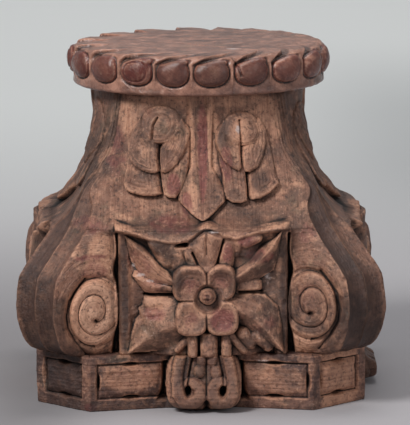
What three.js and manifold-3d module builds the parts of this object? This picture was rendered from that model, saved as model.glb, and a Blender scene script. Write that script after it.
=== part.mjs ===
// A carved wooden Corinthian capital that stands upside down on its abacus.
// Units are millimetres, +Z is up, the origin is the middle of the underside and the front faces -Y.
// Three pieces: the abacus slab, the carved bell above it and the gadrooned necking ring on top.
// All four faces are alike, so each carving is made once for the front and turned in quarter turns.

import * as THREE from "three";
import { mergeVertices } from "three/addons/utils/BufferGeometryUtils.js";
import Module from "manifold-3d";

const wasm = await Module();
wasm.setup();

// ---------------------------------------------------------------- driving dimensions

const SEAT_GAP = 0.3;              // air left between two pieces that rest on each other
const ABACUS_HEIGHT = 63;
const ABACUS_HALF_WIDTH = 187.6;   // axis to the line through the corners of one long side
const ABACUS_CORNER_X = 126.7;     // half length of a long side, where the cut corner starts
const ABACUS_HOLLOW = 20;          // how far the middle of a long side is scooped back
const FLEURON_HALF_WIDTH = 42;     // the flat middle of a long side, behind its ornament
const BELL_BOTTOM = ABACUS_HEIGHT + SEAT_GAP;
const BELL_TOP = 352;
const RING_BOTTOM = BELL_TOP + SEAT_GAP;
const RING_TOP = 400;
const TABLET_HALF_WIDTH = 93;      // the square panel in the middle of each face of the bell
const TABLET_GROUND = 168;         // axis to the sunk ground of the panel
const SHOULDER = 206;              // level of the upper edge of the square lip above the panel
const LIP_BOTTOM = 198;            // level of the underside of that lip
const SLOT_DEPTH = 140;            // axis to the bottom of the slots beside the panel
const VOLUTE_INNER_X = 103;        // the side of the volute that faces the slot
const VOLUTE_EYE = { x: 124, z: 121 };
const FLOWER = { z: 127, petal: 19.5, front: 201 };
const LEAF_ANGLE = Math.PI / 8;    // the leaves stand 22.5 degrees off the middle of a face
const BOSS_COUNT = 18;

// ---------------------------------------------------------------- small helpers

// Straight-line interpolation through [level, value] pairs that rise in level.
function profile(pairs) {
  return (level) => {
    const next = pairs.findIndex(([l]) => l >= level);
    if (next === 0) return pairs[0][1];
    if (next < 0) return pairs[pairs.length - 1][1];
    const [l0, v0] = pairs[next - 1];
    const [l1, v1] = pairs[next];
    return v0 + ((v1 - v0) * (level - l0)) / (l1 - l0);
  };
}

function signedVolume(positions, index) {
  const a = new THREE.Vector3();
  const b = new THREE.Vector3();
  const c = new THREE.Vector3();
  let volume = 0;
  for (let i = 0; i < index.length; i += 3) {
    a.fromArray(positions, index[i] * 3);
    b.fromArray(positions, index[i + 1] * 3);
    c.fromArray(positions, index[i + 2] * 3);
    volume += a.dot(b.cross(c)) / 6;
  }
  return volume;
}

// A closed body through rings of points, capped with a fan at each end.
function loft(rings) {
  const count = rings[0].length;
  const positions = [];
  const index = [];
  for (const ring of rings) ring.forEach((p) => positions.push(p.x, p.y, p.z));
  for (let r = 0; r + 1 < rings.length; r += 1) {
    for (let i = 0; i < count; i += 1) {
      const j = (i + 1) % count;
      const low = r * count;
      const high = low + count;
      index.push(low + i, low + j, high + j, low + i, high + j, high + i);
    }
  }
  for (const end of [0, rings.length - 1]) {
    const middle = rings[end].reduce((sum, p) => sum.add(p), new THREE.Vector3()).divideScalar(count);
    const hub = positions.length / 3;
    positions.push(middle.x, middle.y, middle.z);
    for (let i = 0; i < count; i += 1) {
      const here = end * count + i;
      const there = end * count + ((i + 1) % count);
      if (end === 0) index.push(hub, there, here);
      else index.push(hub, here, there);
    }
  }
  if (signedVolume(positions, index) < 0) index.reverse();
  const geometry = new THREE.BufferGeometry();
  geometry.setAttribute("position", new THREE.Float32BufferAttribute(positions, 3));
  geometry.setIndex(index);
  return geometry;
}

function toSolid(geometry) {
  const bare = geometry.clone();
  bare.deleteAttribute("normal");
  bare.deleteAttribute("uv");
  const merged = mergeVertices(bare, 1e-4);
  return new wasm.Manifold(
    new wasm.Mesh({
      numProp: 3,
      vertProperties: new Float32Array(merged.attributes.position.array),
      triVerts: new Uint32Array(merged.index.array),
    }),
  );
}

function toGeometry(solid) {
  const mesh = solid.getMesh();
  const geometry = new THREE.BufferGeometry();
  geometry.setAttribute("position", new THREE.BufferAttribute(mesh.vertProperties, 3));
  geometry.setIndex(new THREE.BufferAttribute(mesh.triVerts, 1));
  return geometry;
}

// Adds a carving, made for the front face, on all four faces of the body.
function addOnEachFace(body, carvings) {
  let result = body;
  for (let face = 0; face < 4; face += 1) {
    for (const carving of carvings) {
      result = result.add(toSolid(carving.clone().rotateZ((face * Math.PI) / 2)));
    }
  }
  return result;
}

function cutOnEachFace(body, cuts) {
  let result = body;
  for (let face = 0; face < 4; face += 1) {
    for (const cut of cuts) {
      result = result.subtract(toSolid(cut.clone().rotateZ((face * Math.PI) / 2)));
    }
  }
  return result;
}

// A point on the front face, at distance depth in front of the axis.
function onFace(x, z, depth) {
  return new THREE.Vector3(x, -depth, z);
}

// A cushion: an outline in face coordinates, a root that sinks into the body, an edge and a crown.
function cushion(outline, root, edge, crown, place = onFace) {
  const middle = outline.reduce(([x, z], [u, w]) => [x + u / outline.length, z + w / outline.length], [0, 0]);
  const ring = (depth) => outline.map(([x, z]) => place(x, z, depth(x, z)));
  const geometry = loft([ring(root), ring(edge)]);
  const positions = geometry.attributes.position;
  const top = place(middle[0], middle[1], crown);
  positions.setXYZ(positions.count - 1, top.x, top.y, top.z);
  return geometry;
}

// A closed outline of a rounded blob: a superellipse about (x, z).
function blob(x, z, halfWidth, halfHeight, power, count) {
  const points = [];
  for (let i = 0; i < count; i += 1) {
    const angle = (2 * Math.PI * (i + 0.5)) / count;
    const c = Math.cos(angle);
    const s = Math.sin(angle);
    const grow = (Math.abs(c) ** power + Math.abs(s) ** power) ** (-1 / power);
    points.push([x + halfWidth * c * grow, z + halfHeight * s * grow]);
  }
  return points;
}

// A leaf blade from one point of the face to another: its edges lie low and its middle is a ridge.
function blade(from, to, halfWidth, root, edge, ridge) {
  const shape = [[0, 0.6], [0.4, 1], [0.75, 0.7], [1, 0.06]];
  const along = [to[0] - from[0], to[1] - from[1]];
  const length = Math.hypot(along[0], along[1]);
  const across = [-along[1] / length, along[0] / length];
  const rings = shape.map(([t, width]) => {
    const x = from[0] + along[0] * t;
    const z = from[1] + along[1] * t;
    const w = halfWidth * width;
    const left = [x + across[0] * w, z + across[1] * w];
    const right = [x - across[0] * w, z - across[1] * w];
    return [
      onFace(left[0], left[1], root),
      onFace(left[0], left[1], edge),
      onFace(x, z, ridge - (ridge - edge) * 0.5 * t),
      onFace(right[0], right[1], edge),
      onFace(right[0], right[1], root),
    ];
  });
  return loft(rings);
}

// A band that follows a path of [x, z, halfWidth] on a face. Its top stands rise above the ground
// depth(x, z), its walls go down to root, and flat is the share of its width that is flat on top.
function band(path, rise, root, flat, depth) {
  const rings = path.map(([x, z, halfWidth], i) => {
    const before = path[Math.max(i - 1, 0)];
    const after = path[Math.min(i + 1, path.length - 1)];
    const run = [after[0] - before[0], after[1] - before[1]];
    const length = Math.hypot(run[0], run[1]);
    const side = [(-run[1] / length) * halfWidth, (run[0] / length) * halfWidth];
    const at = (s) => [x + side[0] * s, z + side[1] * s];
    const above = (s) => onFace(...at(s), depth(...at(s)) + rise);
    const top = flat > 0 ? [above(flat), above(-flat)] : [above(0)];
    return [onFace(...at(1), root), ...top, onFace(...at(-1), root)];
  });
  return loft(rings);
}

function mirrored(geometry) {
  const copy = geometry.clone().scale(-1, 1, 1);
  copy.setIndex(Array.from(copy.index.array).reverse());
  return copy;
}

// ---------------------------------------------------------------- form of the bell

// Axis to the middle of a face, from the square lip over the hollow flare to the neck.
const faceDistance = profile([
  [LIP_BOTTOM, 186], [SHOULDER, 187], [213, 176], [228, 159], [245, 149], [265, 136], [295, 127.5],
  [BELL_TOP, 124],
]);

// Axis to the ground of the panel below the lip.
const panelGround = profile([[BELL_BOTTOM, 160], [75, 165], [95, TABLET_GROUND]]);

// Axis to the crest of the corner, along the diagonal: the big S that ends in the volutes.
const cornerDistance = profile([
  [BELL_BOTTOM, 222], [75, 244], [95, 260], [120, 267], [150, 262], [176, 240], [SHOULDER, 211],
  [213, 207], [228, 198], [245, 187], [265, 163], [295, 138], [BELL_TOP, 124],
]);

// Half width of the band on the corner, between the two volutes.
const cornerBand = profile([[BELL_BOTTOM, 27], [95, 30], [150, 30], [190, 29], [SHOULDER, 26]]);

// Axis to the inner side of the volute's face.
const voluteInner = profile([[BELL_BOTTOM, 164], [80, 170], [150, 172], [190, 170], [SHOULDER, 172]]);

// Depth of the volute's face at x: a straight line from its inner side to the corner band.
function voluteDepth(x, z) {
  const level = Math.min(Math.max(z, BELL_BOTTOM), SHOULDER);
  const reach = cornerDistance(level);
  const halfBand = cornerBand(level);
  const edgeX = (reach - halfBand) / Math.SQRT2;
  const edgeDepth = (reach + halfBand) / Math.SQRT2;
  const inner = voluteInner(level);
  return inner + ((edgeDepth - inner) * (x - VOLUTE_INNER_X)) / (edgeX - VOLUTE_INNER_X);
}

// The plain bell above the lip is a superellipse in plan, from a circle to a rounded square.
function bellRadius(angle, z) {
  const face = faceDistance(z);
  const squareness = Math.SQRT2 * (face / Math.max(cornerDistance(z), face * 1.0001));
  const power = Math.LN2 / Math.log(squareness);
  const c = Math.abs(Math.cos(angle));
  const s = Math.abs(Math.sin(angle));
  return face * (c ** power + s ** power) ** (-1 / power);
}

// The section of half a face below the lip, from the middle of the panel to the crest of the corner.
function halfFaceSection(z) {
  const reach = cornerDistance(z);
  const halfBand = cornerBand(z);
  const edgeX = (reach - halfBand) / Math.SQRT2;
  const rimX = edgeX - 11;
  const channel = reach - 7;
  const rounded = halfBand / 2;
  return [
    [0, panelGround(z)],
    [TABLET_HALF_WIDTH, panelGround(z)],
    [(TABLET_HALF_WIDTH + VOLUTE_INNER_X) / 2, SLOT_DEPTH],
    [VOLUTE_INNER_X, voluteInner(z)],
    [rimX, voluteDepth(rimX, z) - 6],
    [edgeX, voluteDepth(edgeX, z)],
    [(channel - rounded) / Math.SQRT2, (channel + rounded) / Math.SQRT2],
    [reach / Math.SQRT2, reach / Math.SQRT2],
  ];
}

// The lower half of the bell: panels, slots and corner volutes, one section for each level.
function voluteBody() {
  const levels = [BELL_BOTTOM, 75, 95, 120, 150, 176, SHOULDER - 4];
  return loft(levels.map((z) => {
    const half = halfFaceSection(z);
    const whole = half.slice(1, -1).reverse().map(([x, depth]) => [-x, depth]).concat(half);
    const ring = [];
    for (let face = 0; face < 4; face += 1) {
      const turn = new THREE.Matrix4().makeRotationZ((face * Math.PI) / 2);
      whole.forEach(([x, depth]) => ring.push(onFace(x, z, depth).applyMatrix4(turn)));
    }
    return ring;
  }));
}

// The upper half of the bell: the plain flare from the lip to the neck.
function flareBody() {
  const levels = [LIP_BOTTOM, SHOULDER, 213, 228, 245, 265, 295, BELL_TOP];
  const columns = 32;
  return loft(levels.map((z) => {
    const ring = [];
    for (let i = 0; i < columns; i += 1) {
      const angle = (2 * Math.PI * i) / columns;
      const radius = bellRadius(angle, z);
      ring.push(new THREE.Vector3(radius * Math.sin(angle), -radius * Math.cos(angle), z));
    }
    return ring;
  }));
}

// ---------------------------------------------------------------- carving of the bell

// Maps (u, z, lift) to the bell: u is the distance round from the line at startAngle, lift stands out.
function onBell(startAngle) {
  return (u, z, lift) => {
    const angle = startAngle + u / bellRadius(startAngle, z);
    const radius = bellRadius(angle, z) + lift;
    return new THREE.Vector3(radius * Math.sin(angle), -radius * Math.cos(angle), z);
  };
}

// One tier of a hanging leaf: thin at its top, lifted off the bell at its two-lobed lower edge.
function leafTier(angle, top, bottom, halfWidth, cleft, lift) {
  const height = top - bottom;
  const outline = [
    [0, top], [-0.75 * halfWidth, top - 0.12 * height], [-halfWidth, top - 0.6 * height],
    [-0.5 * halfWidth, bottom], [0, bottom + cleft], [0.5 * halfWidth, bottom],
    [halfWidth, top - 0.6 * height], [0.75 * halfWidth, top - 0.12 * height],
  ];
  const rise = (x, z) => 1.5 + ((top - z) / height) * (lift - 1.5);
  return cushion(outline, () => -9, rise, lift * 0.9, onBell(angle));
}

// A leaf in three tiers: one lobe above, a pair below it, and a wider pair at the bottom.
function leaf(angle) {
  const rise = (u, z) => 12 - (z - 294) * 0.22;
  const bud = cushion(blob(0, 315.5, 20.5, 21.5, 2, 6), () => -9, rise, 11, onBell(angle));
  return [bud, leafTier(angle, 306, 261, 26, 8, 10), leafTier(angle, 281, 234, 32, 9, 9)];
}

// The strap between two leaves, which ends in a pointed leaf hanging over the flare.
function strap(angle, stations) {
  const place = onBell(angle);
  const rings = stations.map(([z, halfWidth, edge, ridge]) => [
    place(-halfWidth, z, -8),
    place(-halfWidth, z, edge),
    place(0, z, ridge),
    place(halfWidth, z, edge),
    place(halfWidth, z, -8),
  ]);
  return loft(rings);
}

const FACE_STRAP = [[BELL_TOP - 2, 13, 1, 4], [266, 15, 2, 6], [242, 27, 5, 11], [214, 2, 7, 9]];
const CORNER_STRAP = [[BELL_TOP - 2, 9, 1, 4], [265, 11, 2, 6], [222, 5, 0, 3]];

// Four petals about a cup with a button, standing well out of the panel.
function flower() {
  const { z, petal, front } = FLOWER;
  const root = () => TABLET_GROUND - 8;
  const parts = [];
  for (const [sx, sz] of [[1, 1], [-1, 1], [-1, -1], [1, -1]]) {
    const outline = blob(sx * petal, z + sz * petal, petal - 0.5, petal - 0.5, 2.6, 8);
    const rise = (x, y) => front - 12 + 9 * (Math.hypot(x, y - z) / (2.4 * petal));
    parts.push(cushion(outline, root, rise, front));
  }
  parts.push(cushion(blob(0, z, 16, 16, 2, 8), root, () => front + 0.5, front - 3));
  parts.push(cushion(blob(0, z, 9, 9, 2, 6), root, () => front + 1.5, front + 4));
  return parts;
}

// The rest of the panel: corner leaves, side lobes, a hanging bud and three tongues at the foot.
function panelLeaves() {
  const root = TABLET_GROUND - 8;
  const z = FLOWER.z;
  const parts = [];
  for (const side of [-1, 1]) {
    parts.push(blade([side * 28, z + 28], [side * 86, 196], 17, root, 176, 191));
    parts.push(blade([side * 28, z - 26], [side * 84, 71], 18, root, 174, 190));
    parts.push(cushion(blob(side * 56, z + 16, 20, 11, 2.4, 6), () => root, () => 176, 187));
    parts.push(cushion(blob(side * 57, z - 15, 21, 12, 2.4, 6), () => root, () => 175, 184));
  }
  const bud = [[-8, 163], [8, 163], [13, 180], [20, 203], [0, 206], [-20, 203], [-13, 180]];
  parts.push(cushion(bud, () => root, () => 188, 196));
  for (const x of [-20, 0, 20]) {
    const tongue = [[x - 8.5, 64], [x + 8.5, 64], [x + 8.5, 78], [x, 84], [x - 8.5, 78]];
    parts.push(cushion(tongue, () => 152, () => 178, 184));
  }
  return parts;
}

// The scroll of a volute: a band that winds in from the foot, over the top of the disc, and an eye.
function scroll() {
  const { x, z } = VOLUTE_EYE;
  const path = [];
  const turns = 8;
  for (let i = 0; i < turns; i += 1) {
    const t = i / (turns - 1);
    const angle = THREE.MathUtils.degToRad(-80 + 320 * t);
    const radius = 20 + 24 * (1 - t) ** 2.4;
    path.push([x + radius * Math.cos(angle), z + 1.15 * radius * Math.sin(angle), 9 - 4 * t]);
  }
  const lifted = (depth) => (u, w, lift) => onFace(u, w, depth(u, w) + lift);
  const disc = cushion(blob(x, z, 13, 15, 2, 6), () => -6, () => 1, 6, lifted(voluteDepth));
  return [band(path, 5, SLOT_DEPTH + 5, 0, voluteDepth), disc];
}

function bell() {
  const carvings = [...flower(), ...panelLeaves(), strap(0, FACE_STRAP), strap(Math.PI / 4, CORNER_STRAP)];
  for (const side of [-1, 1]) carvings.push(...leaf(side * LEAF_ANGLE));
  for (const part of scroll()) carvings.push(part, mirrored(part));
  return addOnEachFace(toSolid(voluteBody()).add(toSolid(flareBody())), carvings);
}

// ---------------------------------------------------------------- abacus

// Depth of a long side at x: scooped back from its corners to a flat middle.
function longSide(x) {
  const out = Math.max(Math.abs(x) - FLEURON_HALF_WIDTH, 0) / (ABACUS_CORNER_X - FLEURON_HALF_WIDTH);
  return ABACUS_HALF_WIDTH - ABACUS_HOLLOW * (1 - out);
}

function abacusOutline() {
  const outline = [];
  for (let face = 0; face < 4; face += 1) {
    const turn = new THREE.Matrix4().makeRotationZ((face * Math.PI) / 2);
    for (const x of [-ABACUS_CORNER_X, -FLEURON_HALF_WIDTH, FLEURON_HALF_WIDTH, ABACUS_CORNER_X]) {
      outline.push(onFace(x, 0, longSide(x)).applyMatrix4(turn));
    }
  }
  return outline;
}

// A sunk panel with a cushion in it. side(x) is the depth of the surface that it is cut into.
function sunkPanel(x, halfWidth, side) {
  const z = ABACUS_HEIGHT / 2;
  const box = (w, h) => [[x - w, z - h], [x + w, z - h], [x + w, z + h], [x - w, z + h]];
  const hole = cushion(box(halfWidth, 21), (u) => side(u) - 5, (u) => side(u) + 8, side(x) + 8);
  const pad = cushion(box(halfWidth - 5, 16), (u) => side(u) - 12, (u) => side(u) - 3, side(x) + 1);
  return { hole, pad };
}

// The scrolled ornament in the middle of a long side: two bands that curl in below, round a cleft.
function fleuron() {
  const foot = 150;
  const half = [[14, 62], [31, 50], [37, 30], [31, 13], [18, 7.5], [8, 14]];
  const widths = [9, 9.5, 10, 9.5, 7.5, 5];
  const front = 30;
  const ground = () => ABACUS_HALF_WIDTH - ABACUS_HOLLOW;
  const path = half.map(([x, z], i) => [x, z, widths[i]]);
  const curl = band(path, front, foot, 0.7, ground);
  const knob = cushion(blob(14, 19, 9, 9, 2, 6), () => foot, () => 196, 203);
  const lobe = cushion(blob(9, 43, 9, 10, 2.4, 6), () => foot, () => 186, 194);
  return [curl, knob, lobe].flatMap((part) => [part, mirrored(part)]);
}

function abacus() {
  const outline = abacusOutline();
  const raise = (z) => outline.map((p) => new THREE.Vector3(p.x, p.y, z));
  const panels = [sunkPanel(82, 37, longSide), sunkPanel(-82, 37, longSide)];
  const cornerSide = (ABACUS_HALF_WIDTH + ABACUS_CORNER_X) / Math.SQRT2;
  const corner = sunkPanel(0, 34, () => cornerSide);
  for (const part of [corner.hole, corner.pad]) part.rotateZ(Math.PI / 4);
  panels.push(corner);
  const slab = cutOnEachFace(toSolid(loft([raise(0), raise(ABACUS_HEIGHT)])), panels.map((p) => p.hole));
  const carved = addOnEachFace(slab, [...panels.map((p) => p.pad), ...fleuron()]);
  const reach = 2 * ABACUS_HALF_WIDTH;
  const room = new THREE.BoxGeometry(reach * 2, reach * 2, ABACUS_HEIGHT).translate(0, 0, ABACUS_HEIGHT / 2);
  return carved.intersect(toSolid(room));
}

// ---------------------------------------------------------------- necking ring

// Rows of the ring from its underside over the bosses to the top: [radius, height, depth of the groove].
const RING_ROWS = [
  [138, RING_BOTTOM, 0], [140.5, 361, 0], [148, 367, 6], [151.5, 379, 11], [149, 390, 11],
  [141, 398, 8], [110, RING_TOP, 1.2],
];

function neckingRing() {
  const columns = BOSS_COUNT * 3;
  const rings = RING_ROWS.map(([radius, z, groove]) => {
    const ring = [];
    for (let i = 0; i < columns; i += 1) {
      const angle = (2 * Math.PI * (i + 0.5)) / columns;
      const cut = i % 3 === 2 ? groove : 0;
      const swirl = z === RING_TOP ? 0.12 : 0;
      const r = radius - cut;
      ring.push(new THREE.Vector3(r * Math.sin(angle + swirl), -r * Math.cos(angle + swirl), z));
    }
    return ring;
  });
  return loft(rings);
}

// ---------------------------------------------------------------- assembly

function piece(name, geometry, color, roughness) {
  const mesh = new THREE.Mesh(geometry, new THREE.MeshStandardMaterial({ color, roughness, metalness: 0 }));
  mesh.name = name;
  return mesh;
}

const capital = new THREE.Group();
capital.add(piece("abacus", toGeometry(abacus()), 0x6b4a38, 0.7));
capital.add(piece("bell", toGeometry(bell()), 0x8a6248, 0.7));
capital.add(piece("necking_ring", neckingRing(), 0x6e4436, 0.55));

export default capital;
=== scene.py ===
"""A carved wooden Corinthian capital that stands upside down on its abacus, dressed for a studio view.

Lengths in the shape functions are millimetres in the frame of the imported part: +Z up, the front faces -Y.
Each piece is a wall of rows and columns worked out with numpy and closed by a cap above and below. The bell
and the abacus have four like faces. A face is described by x, from left to right as one looks at it, by the
level z, and by its depth, the distance in front of the axis.
"""

import math

import bpy
import numpy as np
from mathutils import Matrix, Vector


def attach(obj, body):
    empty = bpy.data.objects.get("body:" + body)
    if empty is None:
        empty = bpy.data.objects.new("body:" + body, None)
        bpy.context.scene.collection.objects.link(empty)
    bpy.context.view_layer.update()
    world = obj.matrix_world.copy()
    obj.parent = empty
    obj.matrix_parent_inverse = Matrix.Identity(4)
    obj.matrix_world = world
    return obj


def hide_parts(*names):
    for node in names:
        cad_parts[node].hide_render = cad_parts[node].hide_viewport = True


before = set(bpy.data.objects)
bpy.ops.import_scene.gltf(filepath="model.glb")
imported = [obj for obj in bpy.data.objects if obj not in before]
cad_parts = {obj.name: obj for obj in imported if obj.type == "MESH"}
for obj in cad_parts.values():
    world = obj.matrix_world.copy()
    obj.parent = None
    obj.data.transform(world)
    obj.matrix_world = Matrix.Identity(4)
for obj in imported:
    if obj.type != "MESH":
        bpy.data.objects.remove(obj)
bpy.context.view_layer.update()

MM = 0.001
SEAT_GAP = 0.3
SLAB_TOP = 63.0
BELL_BOTTOM = SLAB_TOP + SEAT_GAP
BELL_TOP = 352.0
RING_BOTTOM = BELL_TOP + SEAT_GAP
RING_TOP = 400.0
SHOULDER = 206.0
SLAB_HALF = 187.6
SLAB_CORNER_X = 126.7
BOSS_COUNT = 18
# The height of a carving beyond its own outline: any other surface stands over it.
OUTSIDE = -1e3


# ---------------------------------------------------------------- numbers and fields


def ease(low, high, x):
    """0 below low, 1 above high, and t*t*(3 - 2t) between them."""
    t = np.clip((x - low) / (high - low), 0, 1)
    return t * t * (3 - 2 * t)


def mix(a, b, share):
    """a where share is 0 and b where it is 1."""
    return a + (b - a) * share


def hump(distance, width, power=2):
    """exp(-(distance / width)^power): 1 at distance 0, dying out on both sides."""
    return np.exp(-((distance / width) ** power))


def crest(q, power, root=0.5):
    """(1 - q^power)^root within q = 1 and 0 beyond it: the profile of a rounded back."""
    return np.clip(1 - q**power, 0, 1) ** root


def curve(points, level):
    """Smooth line through (level, value) points: a cubic on each span, whose slope at a point is the harmonic
    mean of the slopes on both sides, and 0 where they turn."""
    at, value = np.array(points, float).T
    span = np.diff(at)
    rate = np.diff(value) / span
    product = rate[1:] * rate[:-1]
    total = rate[1:] + rate[:-1]
    inner = np.where(product > 0, 2 * product / np.where(total == 0, 1, total), 0)
    slope = np.concatenate([rate[:1], inner, rate[-1:]])
    level = np.clip(level, at[0], at[-1])
    i = np.clip(np.searchsorted(at, level, side="right") - 1, 0, len(span) - 1)
    t = (level - at[i]) / span[i]
    start = value[i] * (1 + 2 * t) * (1 - t) ** 2 + slope[i] * span[i] * t * (1 - t) ** 2
    end = value[i + 1] * t * t * (3 - 2 * t) + slope[i + 1] * span[i] * t * t * (t - 1)
    return start + end


def join(a, b, blend):
    """The greater of a and b, with the corner between them rounded over the height blend."""
    h = np.clip(0.5 + 0.5 * (a - b) / blend, 0, 1)
    return b + (a - b) * h + blend * h * (1 - h)


def scatter(x, y, z, seed):
    """A repeatable random number from -1 to 1 for each point of a whole-number lattice."""
    h = (x * 374761393 + y * 668265263 + z * 1440662683 + seed * 974634777) & 0xFFFFFFFF
    h = ((h ^ (h >> 13)) * 1274126177) & 0xFFFFFFFF
    return ((h ^ (h >> 16)) & 0xFFFF) / 32767.5 - 1


def roughness_field(x, y, z, size, octaves, seed):
    """Smooth noise from about -1 to 1: lattice numbers blended with ease, in octaves that halve in size and
    in height."""
    total = 0
    for octave in range(octaves):
        place = [c * 2**octave / size + 17.3 * octave for c in (x, y, z)]
        cell = [np.floor(p).astype(np.int64) for p in place]
        part = [ease(0, 1, p - c) for p, c in zip(place, cell)]
        layer = 0
        for corner in range(8):
            step = [corner & 1, corner >> 1 & 1, corner >> 2 & 1]
            weight = 1
            for s, f in zip(step, part):
                weight = weight * (f if s else 1 - f)
            layer = layer + weight * scatter(*[c + s for c, s in zip(cell, step)], seed + octave)
        total = total + layer * 0.5**octave
    return total


def flat_field(x, z, size, octaves, seed, layer=0):
    """The same noise on a plane; layer picks another plane of it."""
    return roughness_field(x, z, 0 * x + layer, size, octaves, seed)


def line_distance(x, z, points):
    """Distance from each (x, z) to a line of straight pieces through the points."""
    nearest = np.full(np.shape(x), 1e9)
    for (x0, z0), (x1, z1) in zip(points, points[1:]):
        dx, dz = x1 - x0, z1 - z0
        t = np.clip(((x - x0) * dx + (z - z0) * dz) / (dx * dx + dz * dz), 0, 1)
        nearest = np.minimum(nearest, np.hypot(x - x0 - t * dx, z - z0 - t * dz))
    return nearest


def cut_line(x, z, points, width, depth):
    """A knife cut along a line: depth times a hump over the distance from it."""
    return depth * hump(line_distance(x, z, points), width)


def inside(distance, blur):
    """1 where distance is below zero, 0 above, over a band of the width blur."""
    return 1 - ease(-blur / 2, blur / 2, distance)


def dome(x, z, at, half, power=2.4):
    """Radius q of a superellipse about a point: 0 in its middle and 1 on its edge."""
    across, up = np.abs((x - at[0]) / half[0]), np.abs((z - at[1]) / half[1])
    return (across**power + up**power) ** (1 / power)


def swell(q, low, high, power):
    """Height of a rounded lump of radius q: low on its edge and high in its middle."""
    return np.where(q < 1, low + (high - low) * crest(q, power), OUTSIDE)


def blade(x, z, upper, ridge, lower, rims, crown, hollow):
    """A leaf blade between two edges with a ridge. Along its axis, from the first ridge point to the last,
    each line gives an offset. The height falls from crown on the ridge to rims on the edges, as 1 - v^hollow
    of the way v. rims holds the height of the upper edge at both ends and then of the lower edge."""
    start, end = np.array(ridge[0], float), np.array(ridge[-1], float)
    length = np.hypot(*(end - start))
    along = (end - start) / length
    a = (x - start[0]) * along[0] + (z - start[1]) * along[1]
    b = (z - start[1]) * along[0] - (x - start[0]) * along[1]

    def offset(points):
        """How far to the side of the axis a line runs, at each place along it."""
        points = np.array(points, float) - start
        pa = points @ along
        pb = points[:, 1] * along[0] - points[:, 0] * along[1]
        order = np.argsort(pa)
        return np.interp(a, pa[order], pb[order])

    narrowest = 0.6
    first, middle, second = offset(upper), offset(ridge), offset(lower)
    way = np.sign(first - second)
    to_first = (b - middle) * way / np.maximum((first - middle) * way, narrowest)
    to_second = (middle - b) * way / np.maximum((middle - second) * way, narrowest)
    v = np.clip(np.maximum(to_first, to_second), 0, None)
    t = np.clip(a / length, 0, 1)
    foot = np.where(to_first > to_second, mix(rims[0], rims[1], t), mix(rims[2], rims[3], t))
    top = mix(crown[0], crown[1], t)
    held = (v < 1) & (a > -1) & (a < length)
    return np.where(held, top - (top - foot) * np.clip(v, 0, 1) ** hollow, OUTSIDE)


def finger(x, z, start, end, girth, low, high):
    """A rounded lobe along a straight line: girth is its half width at both ends, high its height there."""
    dx, dz = end[0] - start[0], end[1] - start[1]
    t = np.clip(((x - start[0]) * dx + (z - start[1]) * dz) / (dx * dx + dz * dz), 0, 1)
    q = np.hypot(x - start[0] - t * dx, z - start[1] - t * dz) / mix(girth[0], girth[1], t)
    return np.where(q < 1, low + (mix(high[0], high[1], t) - low) * crest(q, 2.4), OUTSIDE)


# ---------------------------------------------------------------- form of the bell

# Distance of a face from the axis, and of a corner, at each level.
FACE_DISTANCE = [
    (190, 186.5), (206, 185.5), (211, 172), (217, 160), (228, 148.5), (240, 140), (252, 134), (265, 128.5),
    (290, 120.5), (315, 118), (335, 121), (352, 124),
]
CORNER_REACH = [
    (63.3, 232), (70, 247), (78, 254.5), (90, 260), (105, 264.5), (120, 266), (150, 261), (176, 239),
    (206, 210.5), (213, 206.5), (228, 197.5), (245, 186.5), (265, 162.5), (295, 138), (352, 124),
]
BAND_HALF = [(63.3, 27), (95, 30), (150, 30), (190, 29), (206, 26), (228, 18), (245, 8), (265, 5)]
VOLUTE_INNER = [(63.3, 164), (80, 170), (150, 172), (190, 170), (206, 172)]
VOLUTE_FROM = 103
SLOT_OUTER = [(66, 102), (85, 99), (104, 94), (124, 93.5), (143, 96), (160, 100), (180, 98), (205, 101)]
PANEL_MIDDLE = 2.5
PANEL_DEPTH = 172.0
ROOT_2 = math.sqrt(2)


def flare_depth(x, z, sag):
    """The plain bell above the shoulder: a superellipse in plan, from a circle at the neck to a rounded square.
    Its power makes it meet the corner's reach on the diagonal. sag sets the middle of a face that much lower
    than its corners."""
    face = curve(FACE_DISTANCE, z + sag * (1 - ease(262, 300, z)))
    reach = curve(CORNER_REACH, z)
    power = math.log(2) / np.log(np.clip(ROOT_2 * face / reach, 1.0001, 1.41421))
    return face * np.clip(1 - np.abs(x / face) ** power, 1e-6, 1) ** (1 / power)


def volute_plane(x, z):
    """The flat of a volute slopes outwards to its rim; beyond the rim the corner runs at 45 degrees."""
    reach = curve(CORNER_REACH, z)
    half = curve(BAND_HALF, z)
    edge_x, edge_depth = (reach - half) / ROOT_2, (reach + half) / ROOT_2
    inner = curve(VOLUTE_INNER, z)
    slope = inner + (edge_depth - inner) * (np.abs(x) - VOLUTE_FROM) / np.maximum(edge_x - VOLUTE_FROM, 5)
    return np.minimum(slope, ROOT_2 * reach - np.abs(x))


def volute_edge(z):
    """How far out the rim of a volute lies."""
    return (curve(CORNER_REACH, z) - curve(BAND_HALF, z)) / ROOT_2


def plain_depth(x, z, sag):
    """The smooth body that the carving is measured from."""
    high = flare_depth(x, np.maximum(z, SHOULDER - 12), sag)
    low = mix(PANEL_DEPTH, volute_plane(x, np.minimum(z, SHOULDER)), ease(90, VOLUTE_FROM, np.abs(x)))
    return mix(low, high, ease(SHOULDER - 8, SHOULDER + 6, z))


# ---------------------------------------------------------------- carving of the panel

FLOWER = (8.0, 128.5)
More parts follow.
